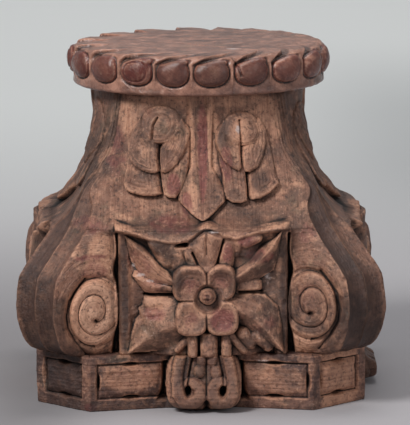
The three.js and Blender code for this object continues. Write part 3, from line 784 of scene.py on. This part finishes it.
def fleuron_height(x, z, lean):
    """The ornament in the middle of a side, x counted from its cleft: on each side a roll runs down and curls
    in below round a pierced hole; between the rolls hang two pairs of lobes. lean widens the left side."""
    share = np.abs(x) / (curve(FLEURON_HALF, z) + np.where(x < 0, lean, -lean))
    front = curve(FLEURON_FRONT, z)
    height = front - 5.5 - 13 * (1 - crest(share, 6))
    for path in ROLLS:
        away = line_distance(x, z, path) / curve(ROLL_GIRTH, z)
        roll = front + 0.8 - 6.5 * (1 - crest(away, 3))
        height = np.where(away < 1, np.maximum(height, roll), height)
    for at, size, rise in HANGING_LOBES:
        lobe = swell(dome(x, z, at, size, 2.2), 0, 1, 2.4)
        height = np.where(lobe > 0, np.maximum(height, front - 6 + (6 + rise) * lobe), height)
    for at in ROLL_HOLES:
        height = height - 20 * hump(dome(x, z, at, (3.4, 6), 2), 1, 4)
    for points, width, depth in FLEURON_CUTS:
        height = height - cut_line(x, z, points, width, depth)
    return np.where(share < 1, height, OUTSIDE)


def panel_relief(u, z, half, pocket=0):
    """A cushioned panel in a frame: a fine cut round it, a gouged crescent in the middle of each edge, and a
    deep pocket past the end that lies next to the fleuron, on the side that pocket points to."""
    middle, tall = 33.5, 19.5
    edge = np.maximum(np.abs(u) - half, np.abs(z - middle) - tall)
    height = -3.0 * hump(edge, 0.9) - 2.2 * inside(edge, 1.5) + 3.0 * (1 - ease(-9, 0, edge))
    height = height + 0.5 * flat_field(u, z, 7, 2, 63, 40 * half)
    crescents = [
        (0, middle + tall - 0.5, 8.5, 2.2), (0, middle - tall + 0.5, 8.5, 2.2),
        (-half * (pocket or 1) + 1, middle, 1.8, 8),
    ]
    for at_u, at_z, wide, high in crescents:
        height = height - 8 * hump(dome(u, z, (at_u, at_z), (wide, high), 2), 1, 4)
    if pocket:
        bow = half - 3 - 5 * ((z - middle) / tall) ** 2 * (z < middle)
        height = height - 15 * ease(bow, bow + 5, u * pocket) * ease(8, 15, z) * (1 - ease(52, 56, z))
    return height


def worn_rim(z):
    """How far the slab is worn back: a rounded edge along its top and a small hollow along its foot."""
    top = np.clip((z - SLAB_TOP + 2.5) / 2.5, 0, 1)
    return 2.2 * (1 - crest(top, 2)) + 1.5 * np.clip(1 - z / 1.5, 0, 1) ** 2


def slab_side(quarter, across, cut, level):
    """A long side of the slab and the cut corner after it: points, heights over the plain side, and the foot of
    the core behind them. A side is hollowed outwards from its ornament, which stands in front of it."""
    z, x = np.meshgrid(level, -SLAB_CORNER_X + 2 * SLAB_CORNER_X * np.arange(across) / across, indexing="ij")
    corner_z, t = np.meshgrid(level, np.arange(cut) / cut, indexing="ij")
    middle, lean = (5.0, 2.5) if quarter == 0 else (0.8 * (quarter - 2), 0.0)
    outer = np.maximum(np.abs(x) - 42, 0) / (SLAB_CORNER_X - 42)
    side = SLAB_HALF - 20 * (1 - outer) - worn_rim(z)
    relief = np.where(x < 0, panel_relief(x + 80, z, 37.5, 1), panel_relief(x - 83, z, 37, -1))
    relief = relief * ease(SLAB_CORNER_X, SLAB_CORNER_X - 3, np.abs(x))
    depth = np.maximum(side + relief, fleuron_height(x - middle, z, lean))
    corner_relief = panel_relief(CORNER_WIDTH * (t - 0.5), corner_z, 30) * 1.3 - worn_rim(corner_z)
    corner = np.stack([mix(SLAB_CORNER_X, SLAB_HALF, t) + corner_relief / ROOT_2,
                       -mix(SLAB_HALF, SLAB_CORNER_X, t) - corner_relief / ROOT_2, corner_z], -1)
    cut_foot = [mix(SLAB_CORNER_X, CORE_HALF, t[0]), -mix(CORE_HALF, SLAB_CORNER_X, t[0])]
    foot = np.concatenate([np.stack([x[0], np.full(across, -1.0 * CORE_HALF)], -1), np.stack(cut_foot, -1)])
    points = turned(np.concatenate([np.stack([x, -depth, z], -1), corner], 1), quarter)
    foot = turned(np.concatenate([foot, np.zeros((len(foot), 1))], 1), quarter)
    return points, np.concatenate([depth - side, corner_relief], 1), foot


def slab_tones(x, y, z):
    """Where the wood of the slab is pale, red, dark or whitened: the left cut corner is dark and the right one
    pale, the foot and the front ornament are darker, the right side with its ornament carries painted shade and the
    other sides a lighter painted shade, and chips and paint lie in spots on the front."""
    front = y < 0
    across, depth = np.minimum(np.abs(x), np.abs(y)), np.maximum(np.abs(x), np.abs(y))
    cut_corner = ease(0.72, 0.8, across / depth)
    pale = 0.4 * spot(x, z, (85, 33), (45, 22)) * front + 0.6 * spot(x, z, (-80, 38), (40, 20)) * front
    pale = pale + 0.7 * (x > 100) * front * cut_corner
    foot = 0.6 * (y < -100) * (z < 12) * (x < 40) + 0.5 * (y < -100) * spot(x, z, (-122, 30), (5, 40))
    foot = np.maximum(foot, 0.5 * spot(x, z, (5, 34), (50, 50)) * (y < -100))
    red = 0.8 * spot(x, z, (-126, 4), (9, 8)) * front + 0.3 * spot(x, z, (-80, 38), (36, 18)) * front
    # Painted shade: the right side with its ornament is darker, and the other sides behind the front a little.
    dark = np.maximum(np.maximum((x < 0) * cut_corner, foot), np.where(x > 185, 0.8, 0.3) * (y > -120))
    return {"pale": pale, "red": red, "dark": dark, "white": 0.8 * spot(x, z, (70, 55), (9, 2)) * front}


def abacus():
    """The slab: four long sides with a fleuron and two panels each, and four cut corners with a panel, round a
    plain core that closes it above and below."""
    step = 1.05
    level = np.linspace(0, SLAB_TOP, int(SLAB_TOP / step))
    across, cut = int(2 * SLAB_CORNER_X / step), int(math.floor(CORNER_WIDTH) / step)
    wall, height, core = zip(*(slab_side(quarter, across, cut, level) for quarter in range(4)))
    wall, height, core = np.concatenate(wall, 1), np.concatenate(height, 1), np.concatenate(core)
    x, y, z = (wall[..., i] for i in range(3))
    uneven = 0.45 * roughness_field(x, y, z, 10, 2, 61) + 0.7 * roughness_field(x, y, z, 45, 1, 62)
    wall[..., :2] += wall[..., :2] / np.hypot(x, y)[..., None] * np.clip(uneven, -1.2, 0.8)[..., None]
    wall[..., 0] = np.clip(wall[..., 0], LEFT_WEAR + 0.8 * uneven, curve(RIGHT_WEAR, z) + uneven)
    top = [mix(wall[-1], core + [0, 0, SLAB_TOP], share) for share in (0.15, 0.4, 1)]
    top += shrunk(core, SLAB_TOP, (0.6, 0.1))
    low = [core] + shrunk(core, 0, (0.6, 0.1))
    fine, broad = hollows(height)
    values = {"sunk": fine, "deep": broad, "vein": z * 0.9, **slab_tones(x, y, z)}
    return closed_wall("abacus_slab", wall, np.array(low), np.array(top), values)


# ---------------------------------------------------------------- necking ring

# Length along the profile, radius and level: from the underside over the bosses to the middle of the top.
RING_PROFILE = [
    (0, 138, 352.3), (4.5, 142.5, 352.8), (9.2, 145.5, 356), (14.2, 145, 361), (21.3, 145, 368), (32.3, 146, 379),
    (42.3, 146, 389), (48.2, 145, 394.5), (53.3, 142, 398.2), (58.9, 137, 399.5), (71.9, 124, 399.8),
    (95.9, 100, 399.9), (195.9, 0, 400),
]
# Bearing in degrees from the front of each boss, counted to the right; the boss behind is 9 and also -9.
BOSS_PLACES = [
    (-180, -9), (-138, -7), (-115, -6), (-92, -5), (-69.5, -4), (-48.3, -3), (-29.4, -2), (-12.2, -1), (5.2, 0),
    (24.2, 1), (44, 2), (63, 3), (82, 4), (101.5, 5), (121, 6), (140.5, 7), (180, 9),
]
BOSS_PITCH = 49
BOSS_HALF = (21.0, 15.8)
BOSS_RUN = 33
# Line, width and depth of the cracks in the top, and of the one down the front.
TOP_CRACKS = [([(-38, -14), (18, -60), (66, -96)], 0.9, 1.6), ([(-92, 22), (-40, 34), (44, 10)], 0.7, 1.0)]
FRONT_CRACK = [(15, 398), (17, 388), (18.5, 376)]


def necking_ring():
    """The ring: a profile carried round the axis, swollen into egg bosses with fine darts between them. Over
    each gap a thumb cut sweeps on to the top and dies out there, so the rim of the top is scalloped. run is the
    length along the profile, share the place between two gaps, from -0.5 to 0.5, and q the radius in a boss."""
    columns, rows = ((860, 104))
    bent = int(rows * 0.78)
    run = np.concatenate([np.linspace(0, 98, bent), np.linspace(98, 190, rows - bent + 1)[1:]])
    run, angle = np.meshgrid(run, 2 * math.pi * np.arange(columns) / columns, indexing="ij")
    path, radius, level = np.array(RING_PROFILE).T
    out, up = np.stack([path, radius], 1), np.stack([path, level], 1)
    r, z = curve(out, run), curve(up, run)
    dr = curve(out, run + 0.5) - curve(out, run - 0.5)
    dz = curve(up, run + 0.5) - curve(up, run - 0.5)
    size = np.maximum(np.hypot(dr, dz), 1e-6)
    bearing = (np.degrees(angle) + 180) % 360 - 180
    facing = hump(bearing, 42)
    slant = 0.07 + 0.62 * facing + 0.32 * (bearing > 0) * (1 - facing)
    swirl = slant * np.clip(run - 42, 0, 60)
    swirl = swirl + 0.9 * roughness_field(3 * np.cos(angle), 3 * np.sin(angle), 0 * run, 0.7, 1, 71)
    turn = curve(BOSS_PLACES, bearing - swirl * (1 - ease(120, 175, np.abs(bearing)))) + 0.5
    share = turn % 1 - 0.5
    number = np.floor(turn).astype(np.int64) % BOSS_COUNT
    vary = scatter(number, 0 * number, 0 * number, 72)
    u = share * BOSS_PITCH
    half = (BOSS_HALF[0] + 0.9 * vary, BOSS_HALF[1] + vary)
    q = dome(u, run, (0.6 * vary, BOSS_RUN + vary), half, 2.3)
    height = 6.6 * crest(q, 2.2, 0.55) - 2.0 * hump(q - 1.06, 0.05) * (run < 49)
    height = height - 1.6 * hump(q - 0.68, 0.05) * (vary > 0.3) * (run < 49)
    dart = hump(BOSS_PITCH / 2 - np.abs(u), 1.6) * ease(15, 20, run) * (1 - ease(38, 46, run))
    lean = np.clip(share + 0.5, 0, 1)
    flute = 6.2 * (1 - lean) ** 4 * ease(0, 0.035, lean) + 1.2 * (1 - lean) ** 0.5
    height = height + 1.5 * dart - flute * ease(34, 50, run) * (1 - ease(54, 98 - 26 * facing, run))
    px, py = r * np.sin(angle), -r * np.cos(angle)
    on_top = ease(50, 60, run)
    for points, width, depth in TOP_CRACKS:
        height = height - cut_line(px, py, points, width, depth) * on_top
    height = height - cut_line(np.degrees(angle), z, FRONT_CRACK, 0.5, 3.0)
    height = height + 0.35 * roughness_field(px, py, z, 9, 2, 74)
    reach = r + dz / size * height
    lifted = np.clip(z - dr / size * height - 0.25 * on_top, RING_BOTTOM, RING_TOP)
    wall = np.stack([reach * np.sin(angle), -reach * np.cos(angle), lifted], -1)
    low = np.array(shrunk(wall[0], RING_BOTTOM, (0.9, 0.5, 0.1)))
    fine, broad = hollows(height)
    side = (1 - on_top) * ease(12, 18, run)
    pale = 0.35 * on_top + 0.3 * (1 - side) * (1 - on_top) + 0.45 * side * (q > 1.1)
    # Painted highlight, partly wear: the middles of most bosses are paler.
    pale = pale + 0.4 * side * (q < 0.62) * (vary < 0.2)
    pale = pale + 0.06 * on_top * np.clip(roughness_field(px, py, z, 22, 2, 75), -1, 1)
    grimy_boss = side * (0.42 - 0.3 * vary) * (q < 0.95) * np.where(bearing > 30, 0.1, 1)
    # Painted shade: the thumb cuts over the gaps are darkened.
    flute_painted_shade = 0.85 * ease(1.2, 3.0, flute) * ease(40, 50, run) * (1 - ease(60, 90, run))
    values = {
        "sunk": fine, "deep": broad, "vein": mix(u * 0.6 + run, py, on_top), "pale": pale,
        "red": side * (q < 1.05) * (0.7 + 0.3 * vary) + 0.2 * on_top,
        "dark": np.maximum(grimy_boss, flute_painted_shade), "white": spot(px, py, (40, -82), (12, 6)) * on_top,
    }
    return closed_wall("gadrooned_ring", wall, low, wall[:0], values)


# ---------------------------------------------------------------- finishes


class Socket:
    """The outlet of a node, which takes part in sums: each operator adds a Math node."""

    def __init__(self, finish, outlet):
        self.finish, self.outlet = finish, outlet

    def math(self, operation, first, second):
        """A Math node on two values or sockets."""
        return self.finish.node("ShaderNodeMath", {"operation": operation}, {0: first, 1: second})

    def __add__(self, other):
        return self.math("ADD", self, other)

    def __sub__(self, other):
        return self.math("SUBTRACT", self, other)

    def __rsub__(self, other):
        return self.math("SUBTRACT", other, self)

    def __mul__(self, other):
        return self.math("MULTIPLY", self, other)

    __radd__ = __add__
    __rmul__ = __mul__

    def within(self, low, high):
        """0 below low, 1 above high, and eased between them."""
        settings = {"interpolation_type": "SMOOTHSTEP"}
        return self.finish.node("ShaderNodeMapRange", settings, {0: self, 1: low, 2: high})


class Finish:
    """A material, its shader, and the place of each point on the piece, to which nodes are added."""

    def __init__(self, name):
        self.material = bpy.data.materials.new(name)
        self.material.use_nodes = True
        self.tree = self.material.node_tree
        self.shader = self.tree.nodes["Principled BSDF"]
        self.place = self.node("ShaderNodeTexCoord", output=3)

    def put(self, socket, value):
        """Sets a socket to a value, or links it to another one."""
        if isinstance(value, Socket):
            self.tree.links.new(value.outlet, socket)
        else:
            socket.default_value = value

    def node(self, kind, settings=None, values=None, output=0):
        """Adds one node: first its settings, then the values or links of its sockets."""
        made = self.tree.nodes.new(kind)
        for key, value in (settings or {}).items():
            setattr(made, key, value)
        for key, value in (values or {}).items():
            self.put(made.inputs[key], value)
        return Socket(self, made.outputs[output])

    def axis(self, number):
        """One coordinate of the place, in metres."""
        return self.node("ShaderNodeSeparateXYZ", None, {0: self.place}, number)

    def field(self, label):
        """A point attribute of the piece."""
        return self.node("ShaderNodeAttribute", {"attribute_name": label}, output=2)

    def noise(self, scale, detail, rough, shift=0.0):
        """Noise through the wood; shift moves it, so that two of them don't match."""
        spread = self.node("ShaderNodeMapping", None, {0: self.place, 1: (shift, shift, shift)})
        values = {"Vector": spread, "Scale": scale, "Detail": detail, "Roughness": rough}
        return self.node("ShaderNodeTexNoise", None, values)

    def blend(self, share, under, over, kind="MIX"):
        """Colour under with colour over laid on it by share."""
        settings = {"data_type": "RGBA", "blend_type": kind}
        return self.node("ShaderNodeMix", settings, {0: share, 6: under, 7: over}, 2)


def linear(red, green, blue):
    """A colour given as 0 to 255 screen values, as the light it stands for: ((c + 0.055) / 1.055)^2.4."""
    return tuple(((c / 255 + 0.055) / 1.055) ** 2.4 for c in (red, green, blue)) + (1,)


GREYED_WOOD = linear(108, 96, 76)
# Pale bleached wood, also used as a painted highlight.
BLEACHED_WOOD_AND_HIGHLIGHT = linear(240, 190, 160)
SPLINTERS = linear(236, 204, 176)
# Grime, also used as painted shade.
GRIME_AND_SHADE = linear(56, 39, 35)
# Painted shade in broad recesses.
RECESS_PAINTED_SHADE = linear(58, 42, 36)
PORES = linear(44, 32, 30)
CUT_SHADOW = linear(20, 15, 14)
CHALK = linear(214, 198, 192)
GRAIN_TINT = (0.46, 0.37, 0.34, 1)
SMEAR_TINT = (0.46, 0.36, 0.34, 1)


def weathered_wood(name, wood, worn, shade, paint, gloss, mottle, coarse):
    """Old carved wood: blotches and grain, worn pale on arrises, painted shade in cuts and recesses, bleaching and
    a painted highlight on the palest places, with rests of red paint.
    gloss is the roughness of its sheen, mottle the strength of its blotches, coarse the depth of its grain in
    metres. Each layer of colour lies on the ones before it by its own share."""
    finish = Finish(name)
    blend = finish.blend
    labels = ("sunk", "deep", "vein", "pale", "red", "dark", "white")
    sunk, deep, vein, pale, red, dark, white = (finish.field(label) for label in labels)
    blotch = finish.noise(16, 5, 0.6)
    patch = finish.noise(48, 6, 0.66, 3.1)
    smear = finish.noise(95, 5, 0.68, 15.0)
    fleck = finish.noise(230, 5, 0.7, 7.0)
    along = finish.node("ShaderNodeCombineXYZ", None, {0: vein * 0.5, 1: finish.axis(2) * 26, 2: blotch * 1.5})
    values = {"Vector": along, "Scale": 1.0, "Detail": 5.0, "Roughness": 0.65}
    grain = finish.node("ShaderNodeTexNoise", None, values)

    colour = blend(blotch.within(0.38, 0.64), shade, wood)
    colour = blend(finish.noise(30, 4, 0.6, 11.0).within(0.54, 0.7) * 0.45, colour, GREYED_WOOD)
    colour = blend(patch.within(0.49, 0.68) * 0.6 * mottle, colour, worn)
    colour = blend((pale + patch * 1.1 - 0.55).within(0.05, 0.7) * 0.8, colour, worn)
    # Painted highlight, partly bleaching: where pale passes 1 the wood lightens further.
    colour = blend((pale - 1.0).within(0.0, 0.5) * 0.45, colour, BLEACHED_WOOD_AND_HIGHLIGHT)
    colour = blend((red + smear * 1.2 - 0.6).within(0.2, 0.75) * 0.75, colour, paint)
    colour = blend((smear * 1.4 - sunk - 0.7).within(0.1, 0.6) * 0.6, colour, worn)
    colour = blend((smear * 0.8 - deep - 0.4).within(0.12, 0.6) * 0.35, colour, worn)
    # Grime and painted shade: dark holds both real grime and the painted shade of flanks, shadow sides and hollows.
    colour = blend((dark + smear - 0.5).within(0.1, 0.95) * 0.8, colour, GRIME_AND_SHADE)
    darker = blend(1.0, colour, GRAIN_TINT, "MULTIPLY")
    colour = blend((1.0 - grain.within(0.3, 0.56)) * 0.6 * mottle, colour, darker)
    darker = blend(1.0, colour, SMEAR_TINT, "MULTIPLY")
    colour = blend((1.0 - smear.within(0.33, 0.55)) * 0.52 * mottle, colour, darker)
    splintered = fleck.within(0.56, 0.7) * (1 - dark.within(0.2, 0.8)) * 0.4 * mottle
    colour = blend(splintered, colour, blend(0.35, worn, SPLINTERS))
    colour = blend((1.0 - fleck.within(0.34, 0.48)) * 0.66 * mottle, colour, PORES)
    # Painted shade: broad recesses are darkened.
    colour = blend(deep.within(0.08, 0.75) * 0.62, colour, RECESS_PAINTED_SHADE)
    colour = blend((sunk + smear * 0.5 - 0.25).within(0.3, 0.95), colour, CUT_SHADOW)
    chalked = (white + fleck * 1.6 - 0.9).within(0.3, 1.0) * white.within(0.02, 0.2) * 0.9
    colour = blend(chalked, colour, CHALK)

    relief = grain * 0.6 + patch * 0.9 + smear * 0.8 + fleck * 0.45
    bump = finish.node("ShaderNodeBump", None, {"Strength": 0.9, "Distance": coarse, "Height": relief})
    finish.put(finish.shader.inputs["Base Color"], colour)
    finish.put(finish.shader.inputs["Roughness"], gloss + 0.3 * patch - 0.15 + sunk.within(0, 0.8) * 0.25)
    finish.put(finish.shader.inputs["Normal"], bump)
    finish.shader.inputs["Specular IOR Level"].default_value = 0.45
    return finish.material


bell_wood = weathered_wood("weathered bell wood", wood=linear(156, 112, 91), worn=linear(224, 168, 136),
                           shade=linear(106, 80, 68), paint=linear(138, 74, 70), gloss=0.5, mottle=1.0,
                           coarse=0.0032)
slab_wood = weathered_wood("darkened slab wood", wood=linear(136, 97, 81), worn=linear(204, 150, 120),
                           shade=linear(84, 62, 57), paint=linear(134, 74, 66), gloss=0.52, mottle=1.0,
                           coarse=0.0032)
ring_wood = weathered_wood("polished ring wood", wood=linear(134, 95, 82), worn=linear(192, 142, 120),
                           shade=linear(88, 62, 56), paint=linear(104, 46, 38), gloss=0.2, mottle=0.5,
                           coarse=0.0011)

for made, finish, replaced, slot in (
    (abacus(), slab_wood, "abacus", "abacus_wood"),
    (bell(), bell_wood, "bell", "bell_wood"),
    (necking_ring(), ring_wood, "necking_ring", "ring_wood"),
):
    made.data.materials.append(finish)
    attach(made, "root")
    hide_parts(replaced)
    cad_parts[replaced].data.materials.clear()
    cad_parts[replaced].data.materials.append(finish)


# ---------------------------------------------------------------- studio

# Metres from here on.
FLOOR_HALF = 14.0
BEND_FROM, BEND_RADIUS, WALL_TOP = 13.0, 2.0, 5.0


def pale_paper():
    """Matt paper with painted shade: a painted gradient darker in front, a painted shadow on the left near the
    piece and a band of painted shade far right behind it.
    """
    finish = Finish("pale studio paper")
    across, along = finish.axis(0), finish.axis(1)
    # Painted shade: the paper darkens towards the front.
    tone = finish.blend(along.within(0.2, 2.6), linear(168, 164, 166), linear(236, 237, 234))
    # Painted shadow on the left near the piece, and painted shade in a band far right behind it.
    left = (-0.06 - across).within(0.0, 0.16) * (1.3 - along).within(0.0, 1.3)
    right = (across - 0.05).within(0.0, 0.35) * (3.4 - along).within(0.0, 1.2) * (along - 0.6).within(0.0, 1.2)
    tone = finish.blend(left * 0.6, tone, linear(96, 92, 92))
    tone = finish.blend(right * 0.38, tone, linear(140, 141, 143))
    finish.put(finish.shader.inputs["Base Color"], tone)
    finish.shader.inputs["Roughness"].default_value = 0.9
    return finish.material


def sweep():
    """A pale floor that runs far back and curves up into a wall: a profile carried sideways, flat, then a
    quarter circle, then upright."""
    bend = [(BEND_FROM + BEND_RADIUS * math.sin(a), BEND_RADIUS * (1 - math.cos(a)))
            for a in np.linspace(0.05, math.pi / 2, 16)]
    run = [(-FLOOR_HALF, 0.0), (BEND_FROM, 0.0), *bend, (BEND_FROM + BEND_RADIUS, WALL_TOP)]
    points = [(side * FLOOR_HALF, y, z) for y, z in run for side in (-1, 1)]
    faces = [(2 * i, 2 * i + 1, 2 * i + 3, 2 * i + 2) for i in range(len(run) - 1)]
    mesh = bpy.data.meshes.new("studio_floor")
    mesh.from_pydata(points, [], faces)
    mesh.polygons.foreach_set("use_smooth", np.ones(len(faces), bool))
    mesh.materials.append(pale_paper())
    floor = bpy.data.objects.new("studio_floor", mesh)
    bpy.context.scene.collection.objects.link(floor)


def lamp(name, at, aim, size, power, spread=180):
    """A square soft light at a point, turned to another; spread in degrees narrows its beam."""
    light = bpy.data.lights.new(name, "AREA")
    light.size, light.energy, light.spread = size, power, math.radians(spread)
    made = bpy.data.objects.new(name, light)
    made.location = at
    made.rotation_euler = (Vector(aim) - Vector(at)).to_track_quat("-Z", "Y").to_euler()
    bpy.context.scene.collection.objects.link(made)


def camera(distance=5, turn=-0.51, lift=9.15, roll=-0.33, aside=0.00665, down=0.00245):
    """A long lens, five metres off and a little above. turn, lift and roll are in degrees; it aims at the middle
    of the piece, moved aside and down by a hair."""
    turn, lift, roll = math.radians(turn), math.radians(lift), math.radians(roll)
    back = Vector((math.sin(turn) * math.cos(lift), -math.cos(turn) * math.cos(lift), math.sin(lift)))
    right = (-back).cross(Vector((0, 0, 1))).normalized()
    up = right.cross(-back)
    right, up = right * math.cos(roll) + up * math.sin(roll), up * math.cos(roll) - right * math.sin(roll)
    data = bpy.data.cameras.new("studio_camera")
    data.lens, data.sensor_width, data.clip_end = 363.05, 36, 50
    made = bpy.data.objects.new("studio_camera", data)
    aim = Vector((0, 0, RING_TOP / 2 * MM)) + right * aside - up * down
    made.matrix_world = Matrix.Translation(aim + back * distance) @ Matrix((right, up, back)).transposed().to_4x4()
    bpy.context.scene.collection.objects.link(made)
    bpy.context.scene.camera = made


sweep()
camera()
lamp("key", (-1.5, -1.9, 2.3), (0, 0, 0.2), 0.9, 80)
lamp("fill", (2.6, -2.2, 1.2), (0, 0, 0.2), 1.6, 15)
lamp("top", (0.2, 0.3, 2.4), (0, 0, 0.3), 1.2, 18)
lamp("backdrop", (0.0, 4.3, 3.4), (0, 3.9, 0), 2.6, 20, 110)
world = bpy.data.worlds.new("studio")
world.use_nodes = True
world.node_tree.nodes["Background"].inputs["Color"].default_value = (0.9, 0.94, 1, 1)
world.node_tree.nodes["Background"].inputs["Strength"].default_value = 0.28
bpy.context.scene.world = world
bpy.context.scene.view_settings.view_transform = "Standard"
